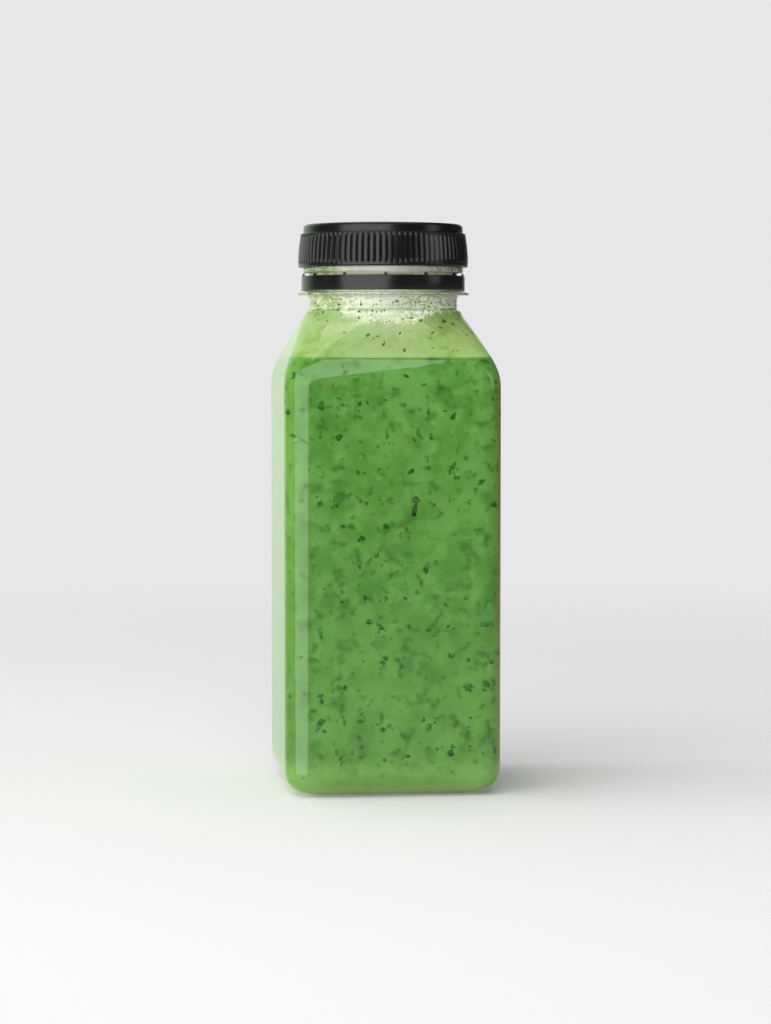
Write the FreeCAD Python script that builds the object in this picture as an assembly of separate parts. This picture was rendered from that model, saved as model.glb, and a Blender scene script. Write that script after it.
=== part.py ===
import FreeCAD, Part
import math
import os

# A square clear plastic juice bottle with a black screw cap, standing full of green juice.
# Lengths are in millimetres. The origin is at the middle of the foot, +Z points up,
# and the four flat sides face -X, +X, -Y and +Y.

# body of the bottle
body_width = 52.0
body_corner = 5.2
heel_radius = 6.2
heel_sections = 6
heel_corner_share = 0.75
wall = 0.65
floor_wall = 1.1
foot_hollow_radius = 16.0
foot_hollow_height = 2.4
foot_hollow_slope = 4.0
foot_hollow_rounding = 1.4

# shoulder: four slanted faces between the square body and the round neck
crease_height = 101.6
crease_rounding = 3.5
corner_drop = 4.6
corner_opening_radius = 20.0
shoulder_rise = 13.8
shoulder_top_radius = 19.3
shoulder_top_flat_deg = 2.0
shoulder_sections = 9
neck_ledge = 1.1

# neck of the bottle, from the ledge up to the rim
neck_radius = 18.15
neck_length = 3.5
neck_fillet = 0.9
neck_wall = 1.75
flange_reach = 2.9
flange_thickness = 1.1
flange_tip = 0.6
flange_chamfer = 0.2
flange_land = 1.85
bead_reach = 1.5
bead_height = 1.35
bead_chamfer = 0.4
rim_wall = 1.35
rim_chamfer = 0.35

# black ring left on the neck, with the stubs of its twelve bridges
band_clearance = 0.65
band_wall = 1.2
band_height = 3.6
band_chamfer = 0.2
band_seat_gap = 0.05
bridge_count = 12
bridge_width = 0.7
bridge_height = 0.6
bridge_depth = 0.6
bridge_turn_deg = -4.6

# black screw cap
cap_clearance = 0.45
cap_wall = 0.9
cap_bevel = 1.0
cap_top_band = 2.2
cap_step = 0.65
cap_bulge = 0.6
cap_bulge_height = 2.7
cap_foot_chamfer = 0.4
cap_height = 10.45
cap_crown_wall = 1.4
cap_bead_gap = 0.1
rib_count = 90
rib_depth = 0.4
rib_share = 0.52
rib_flank_share = 0.14
rib_rim = 0.95
rib_bite = 0.15

# drink
juice_gap = 0.1
juice_headroom = 0.3

# radii that follow from the sizes above
band_radius = neck_radius + band_clearance + band_wall
cap_hollow_radius = neck_radius + cap_clearance
cap_top_radius = cap_hollow_radius + cap_wall
cap_bulge_radius = cap_top_radius + cap_step + cap_bulge

# heights that follow from the sizes above
shoulder_start = crease_height - corner_drop
shoulder_top = crease_height + shoulder_rise
neck_base = shoulder_top + neck_ledge
flange_bottom = neck_base + neck_length
flange_top = flange_bottom + flange_thickness
band_bottom = flange_top + band_seat_gap
band_top = band_bottom + band_height
bead_bottom = band_top + bridge_height + band_seat_gap
bead_top = bead_bottom + bead_height
cap_bottom = bead_top + cap_bead_gap
cap_top = cap_bottom + cap_height
rim_top = cap_top - cap_crown_wall
juice_level = neck_base + juice_headroom

AXIS = FreeCAD.Vector(0, 0, 1)
ORIGIN = FreeCAD.Vector(0, 0, 0)


def at(radius, angle_deg, z):
    """A point at a distance from the bottle's axis, in one direction, at one height."""
    angle = math.radians(angle_deg)
    return FreeCAD.Vector(radius * math.cos(angle), radius * math.sin(angle), z)


def revolved(points):
    """A solid of revolution. Each point of its profile is (radius, height), and a third
    member is a point that the arc from the point before passes through."""
    edges = []
    for start, end in zip(points, points[1:] + points[:1]):
        a = FreeCAD.Vector(start[0], 0, start[1])
        b = FreeCAD.Vector(end[0], 0, end[1])
        if len(end) > 2:
            through = FreeCAD.Vector(end[2][0], 0, end[2][1])
            edges.append(Part.Arc(a, through, b).toShape())
        else:
            edges.append(Part.makeLine(a, b))
    return Part.Face(Part.Wire(edges)).revolve(ORIGIN, AXIS, 360)


def rounded_square(half, corner, z):
    """A closed outline of four straight sides and four corner arcs."""
    reach = half - corner
    edges = []
    for quarter in range(4):
        turn = 90 * quarter
        low = FreeCAD.Vector(half, -reach, z)
        high = FreeCAD.Vector(half, reach, z)
        centre = FreeCAD.Vector(reach, reach, z)
        middle = centre + at(corner, 45, 0)
        end = FreeCAD.Vector(reach, half, z)
        side = Part.makeLine(low, high)
        arc = Part.Arc(high, middle, end).toShape()
        for edge in (side, arc):
            edge.rotate(ORIGIN, AXIS, turn)
            edges.append(edge)
    return Part.Wire(edges)


def round_ring(radius, z):
    """A circle cut into eight arcs, so that it lofts edge by edge with rounded_square."""
    flat = shoulder_top_flat_deg
    edges = []
    for quarter in range(4):
        turn = 90 * quarter
        for low, high in ((turn - flat, turn + flat), (turn + flat, turn + 90 - flat)):
            middle = at(radius, (low + high) / 2, z)
            edges.append(Part.Arc(at(radius, low, z), middle, at(radius, high, z)).toShape())
    return Part.Wire(edges)


def shoulder_half(z):
    """Half the width across the flat faces of the shoulder at a height."""
    slope = (body_width / 2 - shoulder_top_radius) / shoulder_rise
    above = z - crease_height
    if above < -crease_rounding:
        return body_width / 2
    if above < crease_rounding:
        return body_width / 2 - slope * (above + crease_rounding) ** 2 / (4 * crease_rounding)
    return body_width / 2 - slope * above


def shoulder_corner(z):
    """Corner radius of the shoulder at a height: it opens towards the round neck."""
    share = (z - shoulder_start) / (shoulder_top - shoulder_start)
    opened = body_corner + (corner_opening_radius - body_corner) * share ** 2
    return min(opened, shoulder_half(z) - neck_fillet)


def shoulder(inset):
    """The shoulder: one loft from the square body to a circle, set in by a wall."""
    wires = []
    for index in range(shoulder_sections):
        z = shoulder_start + (shoulder_top - shoulder_start) * index / shoulder_sections
        wires.append(rounded_square(shoulder_half(z) - inset, shoulder_corner(z) - inset, z))
    wires.append(round_ring(shoulder_top_radius - inset, shoulder_top))
    return Part.makeLoft(wires, True, False)


def heel(inset, bottom):
    """The rounded foot of the body: one loft whose sections grow along a quarter circle."""
    radius = heel_radius - inset
    wires = []
    for index in range(heel_sections + 1):
        turn = math.radians(90 * index / heel_sections)
        half = body_width / 2 - inset - radius * (1 - math.sin(turn))
        share = heel_corner_share + (1 - heel_corner_share) * math.sin(turn)
        z = bottom + radius * (1 - math.cos(turn))
        wires.append(rounded_square(half, (body_corner - inset) * share, z))
    return Part.makeLoft(wires, True, False)


def body(inset, bottom):
    """The square body from the heel up to the shoulder, set in by a wall."""
    heel_top = bottom + heel_radius - inset
    outline = rounded_square(body_width / 2 - inset, body_corner - inset, heel_top)
    prism = Part.Face(outline).extrude(FreeCAD.Vector(0, 0, shoulder_start - heel_top))
    return prism.fuse(heel(inset, bottom))


def foot_hollow(offset, bottom):
    """The dished middle of the foot, as a solid that stands on the given height."""
    low = foot_hollow_radius + offset
    high = low - foot_hollow_slope
    cone = Part.makeCone(low, high, foot_hollow_height, FreeCAD.Vector(0, 0, bottom))
    top_edges = [edge for edge in cone.Edges if edge.BoundBox.ZMin > bottom + 0.001]
    return cone.makeFillet(foot_hollow_rounding, top_edges)


def neck_outside():
    """Ledge, neck, support flange, bead and rim of the bottle, as one solid of revolution."""
    flange_radius = neck_radius + flange_reach
    bead_radius = neck_radius + bead_reach
    rim_radius = neck_radius - (neck_wall - rim_wall)
    ledge_middle = (neck_radius + (shoulder_top_radius - neck_radius) * math.sqrt(0.5),
                    shoulder_top + neck_ledge * math.sqrt(0.5))
    root_middle = (neck_radius + neck_fillet * (1 - math.sqrt(0.5)),
                   flange_bottom - neck_fillet * (1 - math.sqrt(0.5)))
    return revolved([
        (0, shoulder_start),
        (shoulder_top_radius / 2, shoulder_start),
        (shoulder_top_radius / 2, shoulder_top),
        (shoulder_top_radius, shoulder_top),
        (neck_radius, neck_base, ledge_middle),
        (neck_radius, flange_bottom - neck_fillet),
        (neck_radius + neck_fillet, flange_bottom, root_middle),
        (flange_radius - flange_chamfer, flange_bottom),
        (flange_radius, flange_bottom + flange_chamfer),
        (flange_radius, flange_bottom + flange_tip),
        (neck_radius + flange_land, flange_top),
        (neck_radius, flange_top),
        (neck_radius, bead_bottom),
        (bead_radius - bead_chamfer, bead_bottom),
        (bead_radius, bead_bottom + bead_chamfer),
        (bead_radius, bead_top - bead_chamfer),
        (bead_radius - bead_chamfer, bead_top),
        (rim_radius, bead_top),
        (rim_radius, rim_top - rim_chamfer),
        (rim_radius - rim_chamfer, rim_top),
        (0, rim_top),
    ])


def neck_inside(inset):
    """The bore of the neck, which widens under the flange into the shoulder's cavity."""
    bore = neck_radius - neck_wall - (inset - wall)
    flare = shoulder_top_radius - inset
    return revolved([
        (0, shoulder_start + wall),
        (flare / 2, shoulder_start + wall),
        (flare / 2, shoulder_top),
        (flare, shoulder_top),
        (bore, neck_base + neck_length / 2),
        (bore, rim_top + wall),
        (0, rim_top + wall),
    ])


def cavity(gap):
    """What the bottle holds: the same form set in by the wall, and by a gap for the drink."""
    inset = wall + gap
    floor = floor_wall + gap
    hollow = body(inset, floor).fuse([shoulder(inset), neck_inside(inset)])
    return hollow.cut(foot_hollow(floor_wall + gap, floor))


def bottle():
    outside = body(0, 0).fuse([shoulder(0), neck_outside()])
    return outside.cut(cavity(0)).cut(foot_hollow(0, 0))


def juice():
    """The drink, up to its level at the foot of the neck."""
    above = Part.makeBox(body_width, body_width, cap_top,
                         FreeCAD.Vector(-body_width / 2, -body_width / 2, juice_level))
    return cavity(juice_gap).cut(above)


def tamper_band():
    """The ring that stays on the neck when the cap is turned, with its bridge stubs."""
    inner = band_radius - band_wall
    ring = revolved([
        (inner, band_bottom),
        (band_radius - band_chamfer, band_bottom),
        (band_radius, band_bottom + band_chamfer),
        (band_radius, band_top - band_chamfer),
        (band_radius - band_chamfer, band_top),
        (inner, band_top),
    ])
    stubs = []
    inside = band_radius - band_chamfer - bridge_depth
    for index in range(bridge_count):
        stub = Part.makeBox(bridge_width, bridge_depth, bridge_height + band_chamfer,
                            FreeCAD.Vector(-bridge_width / 2, inside, band_top - band_chamfer))
        stub.rotate(ORIGIN, AXIS, 180 + bridge_turn_deg + index * 360 / bridge_count)
        stubs.append(stub)
    return ring.fuse(stubs)


def ribbed_wall(cut_in):
    """The part of the cap's profile that the ribs cover, from foot to head."""
    return [
        (cap_bulge_radius - cut_in, cap_bottom + rib_rim),
        (cap_bulge_radius - cut_in, cap_bottom + cap_bulge_height),
        (cap_top_radius + cap_step - cut_in, cap_top - cap_top_band),
    ]


def cap_core():
    """The cap without its ribs: foot, wall, stepped top band and bevelled crown."""
    bevel_middle = (cap_top_radius - cap_bevel * (1 - math.sqrt(0.5)),
                    cap_top - cap_bevel * (1 - math.sqrt(0.5)))
    points = [
        (0, cap_bottom),
        (cap_bulge_radius - cap_foot_chamfer, cap_bottom),
        (cap_bulge_radius, cap_bottom + cap_foot_chamfer),
        (cap_bulge_radius, cap_bottom + rib_rim),
    ]
    points += ribbed_wall(rib_depth)
    points += [
        (cap_top_radius, cap_top - cap_top_band),
        (cap_top_radius, cap_top - cap_bevel),
        (cap_top_radius - cap_bevel, cap_top, bevel_middle),
        (0, cap_top),
    ]
    return revolved(points)


def ribs():
    """The ring of straight upright ribs, cut to the profile of the cap's wall."""
    root_radius = cap_top_radius + cap_step - rib_depth - rib_bite
    crest_radius = cap_bulge_radius + rib_depth
    wall_points = ribbed_wall(0)
    foot = (root_radius, wall_points[0][1])
    head = (root_radius, wall_points[-1][1])
    blank = revolved([foot] + wall_points + [head])
    pitch = 360 / rib_count
    crest = pitch * rib_share / 2
    root = crest + pitch * rib_flank_share
    corners = []
    for index in range(rib_count):
        middle = index * pitch
        corners.append(at(root_radius, middle - root, cap_bottom))
        corners.append(at(crest_radius, middle - crest, cap_bottom))
        corners.append(at(crest_radius, middle + crest, cap_bottom))
        corners.append(at(root_radius, middle + root, cap_bottom))
    star = Part.Face(Part.makePolygon(corners + corners[:1]))
    return star.extrude(FreeCAD.Vector(0, 0, cap_height)).common(blank)


def cap():
    """The screw cap: its wall with the ribs, hollow under the crown where the neck goes."""
    hollow = Part.makeCylinder(cap_hollow_radius, rim_top - cap_bottom,
                               FreeCAD.Vector(0, 0, cap_bottom))
    return cap_core().fuse(ribs()).cut(hollow)


def write(name, shape):
    """Checks that a piece is one closed solid, and writes it."""
    solid = shape.removeSplitter()
    print(name, "solids", len(solid.Solids), "valid", solid.isValid(),
          "volume", round(solid.Volume, 1), "mm3")
    solid.exportStep("parts/" + name + ".step")


os.makedirs("parts", exist_ok=True)
write("bottle", bottle())
write("juice", juice())
write("tamper_band", tamper_band())
write("cap", cap())
print("height", round(cap_top, 2), "juice level", round(juice_level, 2), "rim", round(rim_top, 2))
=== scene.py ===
import math
import random

import bmesh
import bpy
from mathutils import Matrix, Vector, noise


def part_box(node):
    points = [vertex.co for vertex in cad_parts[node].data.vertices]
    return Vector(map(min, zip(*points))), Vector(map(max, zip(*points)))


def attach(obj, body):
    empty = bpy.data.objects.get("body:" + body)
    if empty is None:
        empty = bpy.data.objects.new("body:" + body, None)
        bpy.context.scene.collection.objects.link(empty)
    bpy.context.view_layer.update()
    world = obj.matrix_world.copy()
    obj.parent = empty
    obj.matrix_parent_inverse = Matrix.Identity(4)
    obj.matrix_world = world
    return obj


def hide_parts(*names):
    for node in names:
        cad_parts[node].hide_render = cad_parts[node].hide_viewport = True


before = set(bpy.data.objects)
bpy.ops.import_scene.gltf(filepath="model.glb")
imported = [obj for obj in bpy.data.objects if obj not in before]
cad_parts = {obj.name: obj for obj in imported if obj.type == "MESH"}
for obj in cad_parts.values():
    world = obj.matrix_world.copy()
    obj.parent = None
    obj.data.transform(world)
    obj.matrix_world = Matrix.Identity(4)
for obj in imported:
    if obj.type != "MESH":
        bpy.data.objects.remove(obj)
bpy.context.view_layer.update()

# A square clear plastic juice bottle with a black screw cap, full of green juice.
# Sizes are in millimetres, as in the part's source, and become metres through MM.
MM = 0.001

# body
body_half = 26.0
body_corner = 5.2
heel_radius = 6.2
heel_corner_share = 0.75
wall = 0.65
floor_wall = 1.1
foot_hollow_radius = 16.0
foot_hollow_height = 2.4
foot_hollow_slope = 4.0
gate_mark_radius = 2.2
gate_mark_height = 0.5
heel_steps = 9
side_steps = 12

# shoulder
crease_height = 101.6
crease_rounding = 3.5
corner_drop = 4.6
corner_opening_radius = 20.0
shoulder_rise = 13.8
shoulder_top_radius = 19.3
shoulder_steps = 26
least_flat = 0.02
neck_ledge = 1.1

# neck
neck_radius = 18.15
neck_length = 3.5
neck_wall = 1.75
neck_fillet = 0.9
flange_reach = 2.9
flange_thickness = 1.1
flange_tip = 0.6
flange_land = 1.85
bead_reach = 1.5
bead_height = 1.35
rim_wall = 1.35
flange_edge = 0.2
flange_lip = 0.12
flange_root = 0.12
bead_root = 0.2
bead_edge = 0.5
rim_edge = 0.35
bore_edge = 0.25

# band and cap
band_clearance = 0.65
band_wall = 1.2
bridge_count = 12
bridge_width = 0.7
bridge_height = 0.6
bridge_depth = 0.6
bridge_turn_deg = -4.6
bridge_root = 0.3
bridge_rounding = 0.18
bridge_set_back = 0.25
band_inner_edge = 0.15
band_outer_edge = 0.2
cap_clearance = 0.45
cap_wall = 0.9
cap_bevel = 1.0
cap_top_band = 2.2
cap_step = 0.65
cap_bulge = 0.6
cap_bulge_height = 2.7
cap_dish = 0.05
cap_step_edge = 0.3
cap_bow = 0.22
cap_foot_edge = 0.35
cap_hollow_edge = 0.25
rib_count = 90
rib_depth = 0.4
rib_share = 0.52
rib_flank_share = 0.14
rib_rim = 0.95

# how finely the round forms are cut, how far juice and froth reach into the wall, and how far
# the cap's top stays under its box
around = 112
around_band = 144
around_scatter = 96
steps_on_rib = 8
pole = 0.01
bite = 0.12
rounding_room = 0.0005

# what the frame gives
_, bottle_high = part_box("bottle")
cap_low, cap_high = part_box("cap")
band_low, band_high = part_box("tamper_band")
_, juice_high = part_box("juice")
rim_top = bottle_high.z / MM
cap_bottom = cap_low.z / MM
cap_top = cap_high.z / MM - rounding_room
band_bottom = band_low.z / MM
bridge_top = band_high.z / MM
juice_level = juice_high.z / MM

shoulder_start = crease_height - corner_drop
shoulder_top = crease_height + shoulder_rise
neck_base = shoulder_top + neck_ledge
flange_bottom = neck_base + neck_length
flange_top = flange_bottom + flange_thickness
band_top = bridge_top - bridge_height
bore = neck_radius - neck_wall
bore_bottom = neck_base + neck_length / 2
flare = shoulder_top_radius - wall
bead_bottom = bridge_top + band_bottom - flange_top
bead_top = bead_bottom + bead_height
band_radius = neck_radius + band_clearance + band_wall
cap_hollow_radius = neck_radius + cap_clearance
cap_top_radius = cap_hollow_radius + cap_wall
cap_bulge_radius = cap_top_radius + cap_step + cap_bulge


# ---------------------------------------------------------------- shader helpers

class Value:
    """A number socket that adds Math nodes when it is used in an expression."""

    def __init__(self, nodes, socket):
        self.nodes = nodes
        self.socket = socket

    def maths(self, operation, first, second):
        made = self.nodes.node("ShaderNodeMath", {"operation": operation}, {0: first, 1: second})
        return Value(self.nodes, made.outputs[0])

    def __add__(self, other):
        return self.maths("ADD", self, other)

    def __sub__(self, other):
        return self.maths("SUBTRACT", self, other)

    def __rsub__(self, other):
        return self.maths("SUBTRACT", other, self)

    def __mul__(self, other):
        return self.maths("MULTIPLY", self, other)

    def step(self, low, high):
        """0 below low, 1 above high, and a smooth rise between."""
        made = self.nodes.node("ShaderNodeMapRange", {"interpolation_type": "SMOOTHSTEP"},
                               {"Value": self, "From Min": low, "From Max": high})
        return Value(self.nodes, made.outputs["Result"])


class Nodes:
    """A node tree that is filled one node at a time."""

    def __init__(self, tree):
        self.tree = tree
        tree.nodes.clear()

    def node(self, kind, settings=None, sockets=None):
        """A node of one kind, with its settings, then its sockets' values or links."""
        made = self.tree.nodes.new(kind)
        for name, setting in (settings or {}).items():
            setattr(made, name, setting)
        for name, given in (sockets or {}).items():
            self.feed(made.inputs[name], given)
        return made

    def feed(self, socket, given):
        if isinstance(given, Value):
            given = given.socket
        if isinstance(given, bpy.types.NodeSocket):
            self.tree.links.new(given, socket)
        elif socket.type == "RGBA":
            socket.default_value = (*given, 1.0)
        else:
            socket.default_value = given

    def split(self, vector):
        """The three parts of a vector."""
        made = self.node("ShaderNodeSeparateXYZ", {}, {"Vector": vector})
        return [Value(self, output) for output in made.outputs]

    def blend(self, first, second, factor):
        """One colour turning into another as factor goes from 0 to 1."""
        made = self.node("ShaderNodeMix", {"data_type": "RGBA"}, {0: factor, 6: first, 7: second})
        return made.outputs[2]

    def layers(self, base, *laid):
        """A base colour with (colour, cover) layers over it, the first one lowest."""
        for colour, cover in laid:
            base = self.blend(base, colour, cover)
        return base


class Finish(Nodes):
    """A material for one kind of piece."""

    def __init__(self, name):
        self.material = bpy.data.materials.new(name)
        self.material.use_nodes = True
        super().__init__(self.material.node_tree)

    def place(self):
        """Object coordinates in millimetres."""
        coordinates = self.node("ShaderNodeTexCoord")
        scaled = self.node("ShaderNodeMapping", {}, {"Vector": coordinates.outputs["Object"],
                                                     "Scale": (1 / MM, 1 / MM, 1 / MM)})
        return scaled.outputs["Vector"]

    def noise(self, place, size, detail, roughness=0.5):
        """Cloudy noise with patches about size millimetres across."""
        made = self.node("ShaderNodeTexNoise", {}, {"Vector": place, "Scale": 1.0 / size,
                                                    "Detail": detail, "Roughness": roughness})
        return Value(self, made.outputs["Fac"])

    def bump(self, height, distance, strength):
        made = self.node("ShaderNodeBump", {}, {"Strength": strength, "Distance": distance * MM,
                                                "Height": height})
        return made.outputs["Normal"]

    def shader(self, sockets):
        return self.node("ShaderNodeBsdfPrincipled", {}, sockets).outputs["BSDF"]

    def mix(self, first, second, factor):
        """One shader turning into another as factor goes from 0 to 1."""
        return self.node("ShaderNodeMixShader", {}, {0: factor, 1: first, 2: second}).outputs[0]

    def surface(self, shader):
        self.node("ShaderNodeOutputMaterial", {}, {"Surface": shader})
        return self.material


def srgb(red, green, blue):
    """A colour given as 0 to 255 values, as the linear numbers that nodes use."""
    linear = []
    for channel in (red, green, blue):
        share = channel / 255
        linear.append(share / 12.92 if share <= 0.04045 else ((share + 0.055) / 1.055) ** 2.4)
    return tuple(linear)


def grey(level):
    return level, level, level


# ---------------------------------------------------------------- mesh helpers

def outline_point(angle, half, corner):
    """Where a ray from the axis leaves a rounded square. It is round when half is corner."""
    quarter = round(angle / (math.pi / 2))
    turned = angle - quarter * math.pi / 2
    across, along = math.cos(turned), math.sin(turned)
    reach = half - corner
    if abs(along) * half <= across * reach:
        distance = half / across
    else:
        centre = Vector((reach, math.copysign(reach, along)))
        ray = Vector((across, along))
        towards = centre.dot(ray)
        distance = towards + math.sqrt(max(towards ** 2 - centre.length_squared + corner ** 2, 0))
    return distance * math.cos(angle), distance * math.sin(angle)


def outline_angle(share, half, corner):
    """Spreads a share of the turn over sides and corners.

    The steps on a side crowd towards its corners, which keeps the shading of the side flat.
    """
    steps_on_side = 0.4
    least_side = 0.2
    side = max(math.atan2(half - corner, half), least_side)
    quarter, within = divmod(share * 4 + 0.5, 1)
    offset = (within - 0.5) * 2
    if abs(offset) <= steps_on_side:
        along = offset / steps_on_side
        turned = along * (1.5 - 0.5 * along ** 2) * side
    else:
        past = (abs(offset) - steps_on_side) / (1 - steps_on_side)
        turned = math.copysign(side + past * (math.pi / 4 - side), offset)
    return quarter * math.pi / 2 + turned


def skin(rings, steps):
    """A closed skin over a list of (half, corner, height) rings, from one pole to the other."""
    mesh = bmesh.new()
    bmesh.ops.create_grid(mesh, x_segments=steps, y_segments=len(rings) - 1, size=0.5)
    for vertex in mesh.verts:
        share = vertex.co.x + 0.5
        half, corner, height = rings[round((vertex.co.y + 0.5) * (len(rings) - 1))]
        x, y = outline_point(outline_angle(share, half, corner), half, corner)
        vertex.co = Vector((x, y, height)) * MM
    close(mesh)
    return mesh


def close(mesh):
    """Merges the seam and the poles, and turns the faces outwards."""
    merged, vanishing = 0.002, 0.0005
    bmesh.ops.remove_doubles(mesh, verts=mesh.verts, dist=merged * MM)
    bmesh.ops.dissolve_degenerate(mesh, edges=mesh.edges, dist=vanishing * MM)
    bmesh.ops.recalc_face_normals(mesh, faces=mesh.faces)


def revolve(points, steps, dent=None):
    """A closed skin from (radius, height) points turned about the axis, less its dents."""
    mesh = bmesh.new()
    bmesh.ops.create_grid(mesh, x_segments=steps, y_segments=len(points) - 1, size=0.5)
    for vertex in mesh.verts:
        angle = (vertex.co.x + 0.5) * 2 * math.pi
        radius, height = points[round((vertex.co.y + 0.5) * (len(points) - 1))]
        if dent:
            radius -= dent(angle, radius, height)
        vertex.co = Vector((radius * math.cos(angle), radius * math.sin(angle), height)) * MM
    close(mesh)
    return mesh


def link(name, data):
    made = bpy.data.objects.new(name, data)
    bpy.context.scene.collection.objects.link(made)
    return made


def piece(name, mesh, material, sharp_deg=None, replaces=()):
    """Turns a mesh, or lists of points, edges and faces, into a piece that rides on the bottle."""
    data = bpy.data.meshes.new(name)
    if isinstance(mesh, bmesh.types.BMesh):
        mesh.to_mesh(data)
        mesh.free()
    else:
        data.from_pydata(*mesh)
    data.shade_smooth()
    if sharp_deg:
        data.set_sharp_from_angle(angle=math.radians(sharp_deg))
    data.materials.append(material)
    made = link(name, data)
    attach(made, "root")
    if replaces:
        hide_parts(*replaces)


def arc(centre, radius, start_deg, end_deg, steps):
    """Points of an arc in the plane of radius and height."""
    points = []
    for index in range(steps + 1):
        angle = math.radians(start_deg + (end_deg - start_deg) * index / steps)
        points.append((centre[0] + radius * math.cos(angle), centre[1] + radius * math.sin(angle)))
    return points


# ---------------------------------------------------------------- the bottle's form

def shoulder_half(height):
    """Half the width at a height. The crease between side and shoulder is a short curve."""
    slope = (body_half - shoulder_top_radius) / shoulder_rise
    above = height - crease_height
    if above < -crease_rounding:
        return body_half
    if above < crease_rounding:
        return body_half - slope * (above + crease_rounding) ** 2 / (4 * crease_rounding)
    return body_half - slope * above


def shoulder_corner(height):
    """Corner radius at a height, which opens until the shoulder is round at its top."""
    share = (height - shoulder_start) / (shoulder_top - shoulder_start)
    opened = body_corner + (corner_opening_radius - body_corner) * share ** 2
    return min(opened, shoulder_half(height) - least_flat)


def body_rings(inset, bottom):
    """Rings of the square body and the shoulder, from the heel up to the neck's ledge."""
    rings = []
    radius = heel_radius - inset
    for index in range(heel_steps + 1):
        turn = math.radians(90 * index / heel_steps)
        share = heel_corner_share + (1 - heel_corner_share) * math.sin(turn)
        rings.append((body_half - inset - radius * (1 - math.sin(turn)),
                      (body_corner - inset) * share, bottom + radius * (1 - math.cos(turn))))
    start = bottom + radius
    for index in range(1, side_steps):
        height = start + (shoulder_start - start) * index / side_steps
        rings.append((body_half - inset, body_corner - inset, height))
    for index in range(shoulder_steps + 1):
        height = shoulder_start + (shoulder_top - shoulder_start) * index / shoulder_steps
        half = shoulder_half(height) - inset
        rings.append((half, min(shoulder_corner(height) - inset, half - least_flat), height))
    return rings


def round_rings(points):
    return [(radius, radius, height) for radius, height in points]


def foot_rings(offset, bottom):
    """The dished foot, from its middle out to the ring that the bottle stands on."""
    low = foot_hollow_radius + offset
    high = low - foot_hollow_slope
    top = bottom + foot_hollow_height
    return round_rings([
        (pole, top - gate_mark_height),
        (gate_mark_radius * 0.6, top - gate_mark_height),
        (gate_mark_radius, top - gate_mark_height * 0.2),
        (gate_mark_radius * 1.2, top),
        (high * 0.6, top),
        (high - 1.2, top - 0.02),
        (high - 0.4, top - 0.14),
        (high + 0.2, top - 0.45),
        (high + 0.9, top - 0.85),
        (low - 0.5, bottom + 0.3),
        (low - 0.1, bottom + 0.06),
        (low + 0.4, bottom),
    ])


def neck_outside():
    """Points of the neck's outside, from the shoulder's ledge up to the rim."""
    flange_radius = neck_radius + flange_reach
    bead_radius = neck_radius + bead_reach
    rim_radius = neck_radius - (neck_wall - rim_wall)
    ledge = shoulder_top_radius - neck_radius
    points = []
    for turn_deg in range(15, 91, 15):
        turn = math.radians(turn_deg)
        points.append((neck_radius + ledge * math.cos(turn),
                       shoulder_top + neck_ledge * math.sin(turn)))
    points += arc((neck_radius + neck_fillet, flange_bottom - neck_fillet), neck_fillet, 180, 90, 6)
    points += arc((flange_radius - flange_edge, flange_bottom + flange_edge), flange_edge, -90, 0, 4)
    points += arc((flange_radius - flange_lip, flange_bottom + flange_tip - 0.1), flange_lip, 0, 70, 3)
    points += [(neck_radius + flange_land + 0.1, flange_top - 0.05),
               (neck_radius + flange_land, flange_top),
               (neck_radius + flange_root, flange_top)]
    points += arc((neck_radius + flange_root, flange_top + flange_root), flange_root, 270, 180, 3)[1:]
    points += arc((neck_radius + bead_root, bead_bottom - bead_root), bead_root, 180, 90, 3)
    points += arc((bead_radius - bead_edge, bead_bottom + bead_edge), bead_edge, -90, 0, 6)
    points += arc((bead_radius - bead_edge, bead_top - bead_edge), bead_edge, 0, 90, 6)
    points += [(rim_radius + bead_root, bead_top)]
    points += arc((rim_radius + bead_root, bead_top + bead_root), bead_root, 270, 180, 3)[1:]
    points += arc((rim_radius - rim_edge, rim_top - rim_edge), rim_edge, 0, 90, 4)
    return points


def neck_inside():
    """Points of the bore, from the rim down to the shoulder's cavity."""
    points = arc((bore + bore_edge, rim_top - bore_edge), bore_edge, 90, 180, 3)
    for index in range(1, 6):
        points.append((bore, rim_top - (rim_top - bore_bottom) * index / 5))
    for index in range(1, 6):
        share = index / 6
        points.append((bore + (flare - bore) * share,
                       bore_bottom + (shoulder_top - bore_bottom) * share))
    return points


def bottle_mesh():
    outside = foot_rings(0, 0) + body_rings(0, 0) + round_rings(neck_outside())
    inside = foot_rings(floor_wall, floor_wall) + body_rings(wall, floor_wall)
    return skin(outside + round_rings(neck_inside()) + inside[::-1], around)


def bore_radius(height):
    """Radius of the inside of the neck at a height."""
    share = (height - shoulder_top) / (bore_bottom - shoulder_top)
    return flare + (bore - flare) * min(max(share, 0), 1)


def juice_rings(reach):
    """Rings of the juice, whose skin reaches a little way into the bottle's wall.

    The top is dished, because juice climbs the wall.
    """
    rings = foot_rings(floor_wall - reach, floor_wall - reach)
    rings += body_rings(wall - reach, floor_wall - reach)
    for index in range(1, 4):
        height = shoulder_top + (juice_level - shoulder_top) * index / 3
        rings.append((bore_radius(height) + reach, bore_radius(height) + reach, height))
    edge = bore_radius(juice_level)
    dish = 0.55
    rings += round_rings([(edge - 0.3, juice_level - 0.05), (edge - 0.8, juice_level - 0.3),
                          (edge - 2.0, juice_level - 0.5), (edge * 0.5, juice_level - dish),
                          (pole, juice_level - dish)])
    return rings


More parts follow.
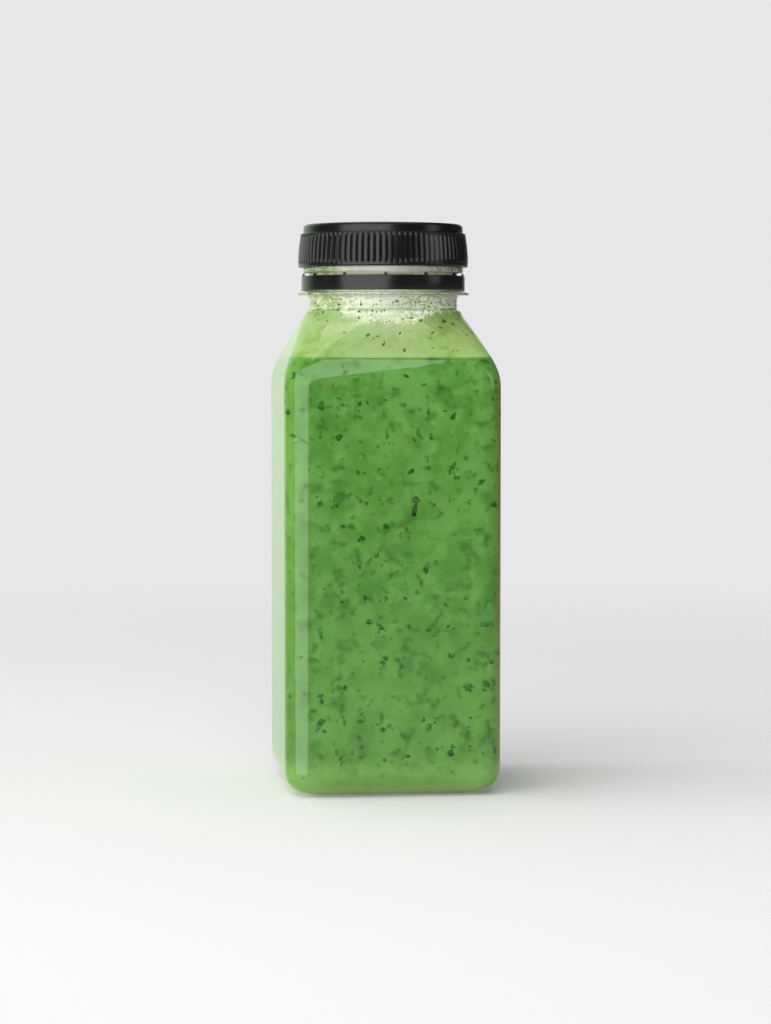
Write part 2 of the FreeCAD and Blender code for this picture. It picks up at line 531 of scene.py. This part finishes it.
def cap_profile():
    """Points of the cap from the middle of its top, round the skirt, to under the crown."""
    head = cap_top - cap_top_band
    foot = cap_bottom + rib_rim
    bulge = cap_bottom + cap_bulge_height
    rib_head = cap_top_radius + cap_step
    middle = 8.0
    points = [(pole, cap_top - cap_dish), (middle, cap_top - cap_dish),
              (cap_top_radius - 3.0, cap_top - 0.03)]
    points += arc((cap_top_radius - cap_bevel, cap_top - cap_bevel), cap_bevel, 90, 0, 8)
    points += [(cap_top_radius, head + 0.25), (cap_top_radius + 0.05, head + 0.08)]
    points += arc((rib_head - cap_step_edge, head - cap_step_edge), cap_step_edge, 80, 10, 4)
    for index in range(1, 12):
        share = index / 12
        bow = cap_bow * math.sin(math.pi * share)
        points.append((rib_head + (cap_bulge_radius - rib_head) * share + bow * 0.35,
                       head - cap_step_edge + (bulge - head + cap_step_edge) * share))
    points += [(cap_bulge_radius, bulge), (cap_bulge_radius, (bulge + foot) / 2),
               (cap_bulge_radius, foot + 0.12), (cap_bulge_radius, foot - 0.05)]
    points += arc((cap_bulge_radius - cap_foot_edge, cap_bottom + cap_foot_edge),
                  cap_foot_edge, 0, -90, 5)
    points += arc((cap_hollow_radius + cap_hollow_edge, cap_bottom + cap_hollow_edge),
                  cap_hollow_edge, 270, 180, 3)
    points += [(cap_hollow_radius, cap_bottom + 4.0), (cap_hollow_radius, rim_top - 0.4)]
    points += [(cap_hollow_radius - 0.4, rim_top), (middle, rim_top), (pole, rim_top)]
    return points


def rib_height(angle):
    """1 on the crest of a rib and 0 in the groove beside it, rounded between."""
    pitch = 2 * math.pi / rib_count
    off = abs((angle / pitch + 0.5) % 1 - 0.5)
    crest = rib_share / 2
    share = min(max((off - crest) / (rib_flank_share + 0.04), 0), 1)
    return 1 - share * share * (3 - 2 * share)


def rib_dent(angle, radius, height):
    """Depth of the groove beside a rib. It runs out at the rim and under the top band."""
    head = cap_top - cap_top_band - 0.15
    foot = cap_bottom + rib_rim
    if radius <= cap_top_radius + 0.1 or not foot < height < head:
        return 0
    ease = min((head - height) / 0.5, (height - foot) / 0.1, 1)
    return rib_depth * (1 - rib_height(angle)) * ease


def cap_mesh():
    return revolve(cap_profile(), rib_count * steps_on_rib, rib_dent)


def add_stub(mesh, turn):
    """Adds the stub of one broken bridge, rounded at its top, to the band's mesh."""
    stub = bmesh.new()
    bmesh.ops.create_cube(stub, size=1)
    tall = bridge_height + bridge_root
    bmesh.ops.scale(stub, verts=stub.verts, vec=Vector((bridge_width, bridge_depth, tall)) * MM)
    top = [edge for edge in stub.edges if all(v.co.z > 0 for v in edge.verts)]
    bmesh.ops.bevel(stub, geom=top, offset=bridge_rounding * MM, segments=2, profile=0.5,
                    affect="EDGES", material=-1)
    place = Vector((0, band_radius - bridge_set_back - bridge_depth / 2,
                    bridge_top - tall / 2 - 0.01))
    bmesh.ops.translate(stub, verts=stub.verts, vec=place * MM)
    bmesh.ops.rotate(stub, verts=stub.verts, cent=(0, 0, 0),
                     matrix=Matrix.Rotation(turn, 3, "Z"))
    part = bpy.data.meshes.new("stub")
    stub.to_mesh(part)
    stub.free()
    mesh.from_mesh(part)
    bpy.data.meshes.remove(part)


def band_mesh():
    """The ring left on the neck, with the rounded stubs of its bridges."""
    inner = band_radius - band_wall
    inner_centre, outer_centre = inner + band_inner_edge, band_radius - band_outer_edge
    points = arc((inner_centre, band_bottom + band_inner_edge), band_inner_edge, 180, 270, 3)
    points += arc((outer_centre, band_bottom + band_outer_edge), band_outer_edge, -90, 0, 4)
    points += arc((outer_centre, band_top - band_outer_edge), band_outer_edge, 0, 90, 4)
    points += arc((inner_centre, band_top - band_inner_edge), band_inner_edge, 90, 180, 3)
    points.append(points[0])
    mesh = revolve(points, around_band)
    for index in range(bridge_count):
        add_stub(mesh, math.radians(180 + bridge_turn_deg + index * 360 / bridge_count))
    return mesh


# ---------------------------------------------------------------- small things in the juice

def pebble():
    """Points and faces of a small ball that stands for one speck or bubble."""
    mesh = bmesh.new()
    bmesh.ops.create_icosphere(mesh, subdivisions=1, radius=1.0)
    points = [vertex.co.copy() for vertex in mesh.verts]
    faces = [[vertex.index for vertex in face.verts] for face in mesh.faces]
    mesh.free()
    return points, faces


def scatter(places, uneven, seed):
    """Joins one pebble per place. A place is (centre, axes, half sizes), in millimetres."""
    chance = random.Random(seed)
    points, faces = pebble()
    all_points, all_faces = [], []
    for centre, axes, sizes in places:
        start = len(all_points)
        for point in points:
            swell = 1 + uneven * chance.uniform(-1, 1)
            parts = (axes[i] * (point[i] * sizes[i] * swell) for i in range(3))
            all_points.append((centre + sum(parts, Vector())) * MM)
        all_faces += [[start + corner for corner in face] for face in faces]
    return all_points, [], all_faces


def spots_on(rings, count, seed, keep):
    """Random places on a skin, evenly by area, that keep() accepts: (centre, axes)."""
    chance = random.Random(seed)
    mesh = skin(rings, around_scatter)
    mesh.faces.ensure_lookup_table()
    faces = list(mesh.faces)
    areas = [face.calc_area() for face in faces]
    found = []
    while len(found) < count:
        for face in chance.choices(faces, weights=areas, k=count):
            weights = [chance.random() for _ in face.verts]
            total = sum(weights)
            spot = sum((v.co * (w / total) for v, w in zip(face.verts, weights)), Vector()) / MM
            if len(found) < count and keep(spot, chance):
                out = face.normal.copy()
                side = out.orthogonal().normalized()
                side.rotate(Matrix.Rotation(chance.uniform(0, math.pi), 3, out))
                found.append((spot, (side, out.cross(side), out)))
    mesh.free()
    return found


# ---------------------------------------------------------------- finishes

def clear_plastic():
    """Clear moulded plastic, faintly wavy, that lets lamps through to the juice."""
    finish = Finish("clear_plastic")
    place = finish.place()
    waves = finish.noise(place, 9.0, detail=1.0)
    grain = finish.noise(place, 1.4, detail=2.0)
    plastic = finish.shader({
        "Transmission Weight": 1.0, "IOR": 1.57,
        "Base Color": finish.blend(srgb(250, 253, 249), srgb(244, 250, 243), grain),
        "Roughness": grain * 0.02 + 0.01,
        "Normal": finish.bump(waves, 0.12, 0.2)})
    passing = finish.node("ShaderNodeBsdfTransparent", {}, {"Color": (0.94, 0.96, 0.94)})
    rays = finish.node("ShaderNodeLightPath")
    return finish.surface(finish.mix(plastic, passing.outputs[0], rays.outputs["Is Shadow Ray"]))


def froth_colour(finish, place):
    """Froth: olive and patchy at the left, milky in front, glittering at the right."""
    across, depth, height = finish.split(place)
    flattened = finish.node("ShaderNodeMapping", {}, {"Vector": place, "Scale": (1.0, 1.0, 2.0)})
    streaks = finish.noise(flattened.outputs["Vector"], 1.0, detail=3.0, roughness=0.65)
    patches = finish.noise(place, 2.6, detail=2.0)
    milky = across.step(-13.0, -7.0) * (1 - across.step(-1.0, 9.0)) * (1 - depth.step(-14.0, -8.0))
    pale = streaks + patches * 0.4 - 0.2
    clumps = patches + streaks * 0.3 - 0.15
    olive = finish.blend(srgb(146, 164, 92), srgb(212, 221, 184), clumps.step(0.4, 0.62))
    milk = finish.blend(srgb(198, 207, 180), srgb(228, 232, 216), height.step(116.0, 118.5))
    return finish.layers(
        srgb(142, 157, 98),
        (srgb(226, 232, 204), pale.step(0.37, 0.47)),
        (srgb(252, 252, 247), pale.step(0.50, 0.60)),
        (olive, (1 - across.step(-13.0, -7.0)) * 0.8),
        (milk, milky * 0.85))


def green_juice():
    """Cloudy green juice with blurred bits deeper down, paler and frothy in the shoulder, with painted
    light, shade and reflections in places.
    """
    finish = Finish("green_juice")
    place = finish.place()
    x, y, z = finish.split(place)
    clouds = finish.noise(place, 7.0, detail=3.0)
    mottle = finish.noise(place, 2.4, detail=3.0)
    olive = finish.noise(place, 4.5, detail=2.0)
    smudges = finish.noise(place, 5.4, detail=1.5)
    deep = finish.noise(place, 3.4, detail=1.5)
    near = finish.noise(place, 2.3, detail=1.0)
    pale = finish.noise(place, 3.8, detail=2.0)
    fizz = finish.noise(place, 0.8, detail=2.0)
    front = 1 - y.step(-14.0, -8.0)

    # Painted light: the front-left corner of the juice lighter and yellower, where light from the left
    # falls.
    painted_left_corner_light = (1 - x.step(-25.2, -21.5)) * (1 - y.step(-22.0, -17.5))
    # Painted shade: the lower front-left corner darker, under the corner's mirrored highlight, so that
    # it fades downward.
    painted_shade_under_highlight = (1 - z.step(8.0, 58.0)) * (1 - x.step(-24.0, -19.5)) * front
    # A painted brownish reflection along the right-front corner of the juice.
    painted_brown_reflection = x.step(23.3, 25.7) * (1 - y.step(-21.0, -17.5))
    # Painted light at the foot, stronger at the corners.
    corner = (x * x + y * y).step(700.0, 1100.0)
    foot_light = (1 - z.step(1.5, 11.0)) * (corner * 0.35 + 0.65)
    body = finish.layers(
        srgb(85, 139, 57),
        (srgb(102, 153, 75), clouds.step(0.35, 0.65)),
        # Lighter towards the bottom: painted light from the floor.
        (srgb(108, 160, 72), (1 - z.step(12.0, 50.0)) * 0.5),
        (srgb(108, 161, 82), pale.step(0.54, 0.68) * 0.6),
        (srgb(100, 138, 62), olive.step(0.56, 0.72) * 0.4),
        (srgb(72, 126, 48), smudges.step(0.50, 0.74) * 0.7),
        (srgb(58, 112, 36), deep.step(0.53, 0.78) * 0.85),
        (srgb(46, 98, 24), near.step(0.57, 0.78) * 0.8),
        (srgb(118, 154, 56), painted_left_corner_light * 0.3),
        (srgb(78, 130, 36), painted_shade_under_highlight * 0.45),
        (srgb(148, 134, 52), painted_brown_reflection * (mottle * 0.5 + 0.4)),
        (srgb(158, 200, 118), foot_light * 0.85),
        # A pale rim of painted light along the base.
        (srgb(200, 222, 162), (1 - z.step(0.8, 3.8)) * 0.75))

    # A pale haze in front of the shoulder: partly a froth film on the wall and partly a painted
    # reflection of light.
    film = x.step(-22.0, -7.0) * (1 - x.step(2.0, 15.0)) * front
    # Painted highlight: a pale strip just above the crease, spread from the corner's highlight.
    painted_crease_highlight = (1 - z.step(105.4, 109.0)) * x.step(-18.0, -8.0) * (1 - x.step(4.0, 16.0)) * front
    dips = x.step(2.0, 17.0) * 4.0
    froth_line = z + mottle * 3.0 + fizz * 3.0 - dips - (1 - x.step(-14.0, -6.0)) * 3.0
    # The shoulder's paler colour is partly froth and partly painted light from above on its slanted
    # faces.
    upper = finish.layers(
        srgb(130, 160, 82),
        (srgb(150, 174, 104), mottle.step(0.35, 0.65)),
        (srgb(104, 138, 58), deep.step(0.58, 0.72) * 0.5),
        (srgb(176, 190, 150), film * (z.step(105.0, 113.0) * 0.6 + 0.08)),
        (srgb(166, 188, 140), painted_crease_highlight * 0.6),
        # Paler towards the right of the front: painted light.
        (srgb(184, 206, 140), x.step(12.0, 19.0) * front * 0.6),
        (froth_colour(finish, place), froth_line.step(115.4, 117.0)))
    over_crease = z.step(104.6, 105.2)

    liquid = finish.shader({
        "Base Color": finish.blend(body, upper, over_crease),
        "Roughness": mottle * 0.1 + 0.4, "IOR": 1.34, "Specular IOR Level": 0.1,
        "Normal": finish.bump(mottle, 0.2, 0.1)})
    return finish.surface(liquid)


def leaf(name, dark, light, size):
    """Bits of leaf, darker and lighter from bit to bit."""
    finish = Finish(name)
    place = finish.place()
    bits = finish.noise(place, size, detail=1.0)
    fibres = finish.noise(place, 0.3, detail=2.0)
    return finish.surface(finish.shader({
        "Base Color": finish.blend(dark, light, bits.step(0.38, 0.62)),
        "Roughness": fibres * 0.2 + 0.5, "Specular IOR Level": 0.2,
        "Normal": finish.bump(fibres, 0.08, 0.4)}))


def froth_finish():
    """Froth with a dry film above it, with a painted highlight seen through the bead in front and a
    painted line of shade just below the bead.
    """
    finish = Finish("juice_froth")
    place = finish.place()
    across, _, height = finish.split(place)
    patches = finish.noise(place, 2.2, detail=3.0)
    streaks = finish.noise(place, 0.7, detail=2.0)
    # Painted highlight: a white patch in front, seen through the bead.
    painted_bead_highlight = height.step(125.5, 125.8) * across.step(-8.0, -3.5) * (1 - across.step(2.5, 6.0))
    # Painted shade: a dark olive line just below the bead.
    painted_bead_shade = height.step(124.7, 125.0) * (1 - height.step(125.3, 125.6))
    colour = finish.layers(froth_colour(finish, place),
                           (srgb(254, 254, 252), painted_bead_highlight),
                           (srgb(96, 112, 50), painted_bead_shade * 0.4))
    return finish.surface(finish.shader({
        "Base Color": colour, "Roughness": patches * 0.2 + 0.25,
        "Normal": finish.bump(streaks, 0.25, 0.5)}))


def bubble_finish(name, wet, dry):
    """Bubbles, tinted by the juice behind them."""
    finish = Finish(name)
    patches = finish.noise(finish.place(), 1.0, detail=1.0)
    return finish.surface(finish.shader({
        "Base Color": finish.blend(wet, dry, patches.step(0.4, 0.6)),
        "Roughness": patches * 0.1 + 0.08, "IOR": 1.33,
        "Normal": finish.bump(patches, 0.05, 0.2)}))


def black_plastic(name, roughness, low, high):
    """Moulded black plastic with a fine grain and rubbed places."""
    finish = Finish(name)
    place = finish.place()
    rubbed = finish.noise(place, 6.0, detail=3.0)
    grain = finish.noise(place, 0.25, detail=2.0)
    return finish.surface(finish.shader({
        "Base Color": finish.blend(srgb(*low), srgb(*high), rubbed.step(0.4, 0.7)),
        "Roughness": rubbed * 0.1 + roughness,
        "Normal": finish.bump(grain, 0.02, 0.3)}))


# ---------------------------------------------------------------- the pieces

piece("bottle_shell", bottle_mesh(), clear_plastic(), sharp_deg=40,
      replaces=["bottle"])
piece("juice_fill", skin(juice_rings(bite), around), green_juice(), sharp_deg=50,
      replaces=["juice"])
piece("screw_cap", cap_mesh(), black_plastic("black_cap", 0.2, (13, 13, 14), (21, 21, 22)),
      sharp_deg=50, replaces=["cap"])
piece("tamper_ring", band_mesh(), black_plastic("black_band", 0.18, (14, 15, 14), (22, 23, 22)),
      sharp_deg=50, replaces=["tamper_band"])


# ---------------------------------------------------------------- leaf bits

def rising(height):
    """More bits float near the top of the juice."""
    return 0.15 + 0.85 * max(height - 105, 0) / 11


def leaf_places(count, seed, sizes, flat, reach, heights, share=None):
    """Leaf bits lying in the skin of the juice, in clumps, as a place list for scatter()."""
    clump = 9.0

    def keep(spot, chance):
        crowd = max(0.6 + 0.6 * noise.noise(spot / clump), 0.05)
        if share:
            crowd = crowd * share(spot.z)
        return heights[0] < spot.z < heights[1] and chance.random() < crowd

    chance = random.Random(seed + 1)
    small, large = sizes
    places = []
    for spot, axes in spots_on(juice_rings(reach), count, seed, keep):
        size = small + (large - small) * chance.random() ** 2.0
        long, wide = size * chance.uniform(0.8, 1.4), size * chance.uniform(0.5, 1.0)
        places.append((spot, axes, (long, wide, flat)))
        for _ in range(chance.choice((0, 0, 1, 2))):
            shift = (axes[0] * chance.uniform(-1, 1) + axes[1] * chance.uniform(-1, 1)) * size
            smaller = chance.uniform(0.4, 0.8)
            places.append((spot + shift, axes, (long * smaller, wide * smaller, flat)))
    return places


def halos(places):
    """Wider, flatter bits round others, which blur their edges."""
    wider, margin, flat = 1.35, 0.15, 0.04
    return [(spot, axes, (long * wider + margin, wide * wider + margin, flat))
            for spot, axes, (long, wide, _) in places]


def stretched(places):
    """The same bits drawn out into fibres."""
    longer, narrower = 3.6, 0.5
    return [(spot, axes, (long * longer, wide * narrower, flat))
            for spot, axes, (long, wide, flat) in places]


dark_bits = leaf_places(380, 11, sizes=(0.24, 0.7), flat=0.1, reach=0.1, heights=(8.0, 104.3))
soft_bits = leaf_places(640, 21, sizes=(0.28, 0.95), flat=0.035, reach=0.1, heights=(4.0, 104.3))
fibres = stretched(leaf_places(80, 81, sizes=(0.25, 0.55), flat=0.05, reach=0.1,
                               heights=(8.0, 104.0)))
shoulder_bits = leaf_places(230, 41, sizes=(0.18, 0.62), flat=0.07, reach=0.12,
                            heights=(105.5, 116.6), share=rising)
brown_bits = leaf_places(12, 31, sizes=(0.25, 0.6), flat=0.06, reach=0.13, heights=(4.0, 112.0))
flake_place = Vector((4.7, -body_half + wall - 0.11, 68.7))
flake_axes = Vector((0.25, 0, 0.97)), Vector((0.97, 0, -0.25)), Vector((0, -1, 0))
brown_bits.append((flake_place, flake_axes, (1.85, 0.75, 0.09)))
piece("leaf_bits_dark", scatter(dark_bits, 0.4, 12),
      leaf("leaf_dark", srgb(36, 88, 15), srgb(62, 116, 31), 3.0))
piece("leaf_bits_soft", scatter(soft_bits + fibres + halos(dark_bits), 0.35, 22),
      leaf("leaf_soft", srgb(62, 116, 36), srgb(80, 134, 52), 4.0))
piece("leaf_bits_shoulder", scatter(shoulder_bits, 0.4, 42),
      leaf("leaf_shoulder", srgb(50, 88, 12), srgb(86, 118, 30), 3.0))
piece("leaf_bits_brown", scatter(brown_bits, 0.3, 32),
      leaf("leaf_brown", srgb(36, 58, 14), srgb(60, 76, 28), 5.0))


# ---------------------------------------------------------------- froth in the neck

froth_top = 121.6
film_top = 127.8


def froth_rings():
    """A layer of froth on the juice, a little into the wall, with a film up the bore."""
    rings = round_rings([(pole, juice_level - 1.2), (14.0, juice_level - 1.2)])
    steps = 8
    for index in range(steps + 1):
        height = juice_level - 1.0 + (froth_top - juice_level + 1.0) * index / steps
        rings.append((bore_radius(height) + bite, bore_radius(height) + bite, height))
    edge = bore_radius(film_top)
    return rings + round_rings([
        (edge + bite, froth_top + 2), (edge + bite, froth_top + 4), (edge + bite, film_top),
        (edge - 0.2, film_top), (edge - 0.4, froth_top + 2), (edge - 1.2, froth_top + 0.6),
        (12.0, froth_top + 0.5), (9.0, froth_top + 0.2), (4.0, froth_top + 0.4),
        (pole, froth_top + 0.3)])


def front_turn(spot):
    """Degrees that a place is turned from the front, positive to the right."""
    return math.degrees(math.atan2(spot.x, -spot.y))


def froth_mesh():
    """The layer of froth and its film, with a lumpy top."""
    inside_film, lump_height, lump_size = 13, 0.45, 1.7
    mesh = skin(froth_rings(), around)
    for vertex in mesh.verts:
        spot = vertex.co / MM
        if spot.z > froth_top + 0.1 and spot.xy.length < inside_film:
            vertex.co.z += lump_height * MM * noise.noise(spot / lump_size)
    return mesh


def froth_edge(turn):
    """Height in millimetres down to which the froth's bubbles cling, round the neck."""
    if -25 < turn < 8:
        return 113.2 + 0.8 * noise.noise(Vector((turn / 9, 0, 0)))
    if 8 <= turn < 75:
        return min(112.7 + (turn - 8) * 0.11, 116.5)
    return 115.8 + 1.2 * noise.noise(Vector((turn / 14, 4, 0)))


def bubble_places(count, seed, sizes, proud, share=None):
    """Bubbles on the skin of the juice and the froth, as a place list for scatter()."""
    bubbles_end, patch_size = 121.0, 1.5
    sunk, flattened = 0.45, 0.8
    chance = random.Random(seed + 1)

    def keep(spot, luck):
        if not froth_edge(front_turn(spot)) < spot.z < bubbles_end:
            return False
        patch = 0.5 + 1.3 * noise.noise(spot / patch_size + Vector((seed, 0, 0)))
        if share:
            patch = patch * share(spot)
        return luck.random() < patch

    small, large = sizes
    places = []
    for spot, _ in spots_on(neck_rings, count, seed, keep):
        size = small + (large - small) * chance.random() ** 2.5
        out = Vector((spot.x, spot.y, 0)).normalized()
        side = out.cross(Vector((0, 0, 1)))
        places.append((spot + out * (proud - size * sunk), (side, side.cross(out), out),
                       (size, size, size * flattened)))
    return places


def shiny_side(spot):
    """More bubbles at the front and to the right of it, on the shoulder most of all."""
    if -20 < front_turn(spot) < 80:
        return 0.6 if spot.z > 116.5 else 1.0
    return 0.2


neck_rings = [ring for ring in juice_rings(bite) if 112 < ring[2] < juice_level - 0.2]
neck_rings += [ring for ring in froth_rings() if juice_level - 0.1 < ring[2] < froth_top]
wet_bubbles = bubble_places(1900, 51, sizes=(0.1, 0.42), proud=0.16)
dry_bubbles = bubble_places(3000, 61, sizes=(0.07, 0.25), proud=0.2, share=shiny_side)
froth_bits = bubble_places(420, 71, sizes=(0.12, 0.36), proud=0.24)
piece("juice_froth", froth_mesh(), froth_finish(), sharp_deg=60)
piece("froth_bubbles", scatter(wet_bubbles, 0.03, 52),
      bubble_finish("juice_bubbles", srgb(158, 180, 106), srgb(224, 232, 200)))
piece("froth_sparks", scatter(dry_bubbles, 0.12, 62),
      bubble_finish("froth_sparks", srgb(190, 202, 168), srgb(250, 251, 244)))
piece("froth_leaf_bits", scatter(froth_bits, 0.35, 72),
      leaf("leaf_froth", srgb(52, 84, 20), srgb(96, 122, 46), 2.0))


# ---------------------------------------------------------------- camera, floor and light

aim_height = 0.09
floor_half = 0.64
fade_start = 0.16
fade_end = 0.62


def softbox(name, turn_deg, height_deg, far, size, power, mirrored=True):
    """A soft lamp in a direction from the bottle's middle, turned from straight in front."""
    data = bpy.data.lights.new(name, "AREA")
    data.shape = "RECTANGLE"
    data.size, data.size_y = size
    data.energy = power
    made = link(name, data)
    turn, rise = math.radians(turn_deg), math.radians(height_deg)
    level = math.cos(rise)
    away = Vector((math.sin(turn) * level, -math.cos(turn) * level, math.sin(rise)))
    made.location = away * far + Vector((0, 0, aim_height))
    made.rotation_euler = (-away).to_track_quat("-Z", "Y").to_euler()
    made.visible_camera = False
    made.visible_glossy = mirrored


softbox("key_softbox", -32.3, 18, far=1.0, size=(1.4, 1.5), power=13.4)
softbox("top_softbox", 180, 80, far=1.1, size=(0.9, 0.9), power=2.4)
softbox("right_fill", 70, 20, far=1.3, size=(0.4, 0.9), power=1.2)
softbox("left_fill", -95, 10, far=1.2, size=(0.5, 1.0), power=7.0, mirrored=False)


def floor_finish():
    """A pale matt floor that fades into the backdrop away from the bottle."""
    finish = Finish("floor")
    coordinates = finish.node("ShaderNodeTexCoord")
    length = finish.node("ShaderNodeVectorMath", {"operation": "LENGTH"},
                         {0: coordinates.outputs["Object"]})
    fade = Value(finish, length.outputs["Value"]).step(fade_start, fade_end)
    matt = finish.shader({"Base Color": (0.86, 0.86, 0.85), "Roughness": 0.85,
                          "Specular IOR Level": 0.1})
    gone = finish.node("ShaderNodeBsdfTransparent")
    return finish.surface(finish.mix(matt, gone.outputs[0], fade))


floor_mesh = bmesh.new()
bmesh.ops.create_grid(floor_mesh, x_segments=1, y_segments=1, size=floor_half)
floor_data = bpy.data.meshes.new("floor")
floor_mesh.to_mesh(floor_data)
floor_mesh.free()
floor_data.materials.append(floor_finish())
floor = link("floor", floor_data)
floor.visible_glossy = False


def studio():
    """The room: pale where it is seen directly, with a bright panel behind to the left."""
    world = bpy.data.worlds.new("studio")
    world.use_nodes = True
    room = Nodes(world.node_tree)
    paths = room.node("ShaderNodeLightPath")
    x, y, z = room.split(room.node("ShaderNodeTexCoord").outputs["Generated"])
    behind = y.step(0.45, 0.85)
    left = 1 - x.step(-0.02, 0.2)
    below = 1 - z.step(-0.15, -0.03)
    panel = behind * left * (z.step(-0.14, 0.0) * 0.25 + 0.75)
    mirrored = room.layers(
        grey(0.05),
        (grey(0.8), y.step(0.82, 0.99)),
        (grey(0.5), below * (z.step(-0.7, -0.2) * 0.85 + 0.15)),
        ((0.83, 0.93, 0.75), panel))
    ambient = room.blend(grey(0), grey(1), (1 - x.step(-0.6, 0.1)) * 0.55 + 0.27)
    left_front = (1 - x.step(-0.7, 0.0)) * (1 - y.step(0.1, 0.5))
    through = room.layers(
        grey(0.72),
        (grey(1.45), left_front),
        (grey(1.3), y.step(0.0, 0.5) * 0.8))
    shown = room.layers(
        ambient,
        (mirrored, paths.outputs["Is Glossy Ray"]),
        (through, paths.outputs["Is Transmission Ray"]),
        (grey(0.8), paths.outputs["Is Camera Ray"]))
    background = room.node("ShaderNodeBackground", {}, {"Color": shown, "Strength": 1.0})
    room.node("ShaderNodeOutputWorld", {}, {"Surface": background.outputs[0]})
    bpy.context.scene.world = world


studio()

view_angle = math.radians(-6.4)
distance = 0.700
eye_height = 0.108
pitch = math.radians(3.357)
side_turn = math.radians(0.048)
camera_data = bpy.data.cameras.new("camera")
camera_data.sensor_width = 36.0
camera_data.lens = 100.16015625
camera_data.clip_start = 0.05
camera = link("camera", camera_data)
camera.location = (distance * math.sin(view_angle), -distance * math.cos(view_angle), eye_height)
camera.rotation_euler = (math.pi / 2 - pitch, 0, view_angle - side_turn)
bpy.context.scene.camera = camera

bpy.context.scene.view_settings.view_transform = "Standard"
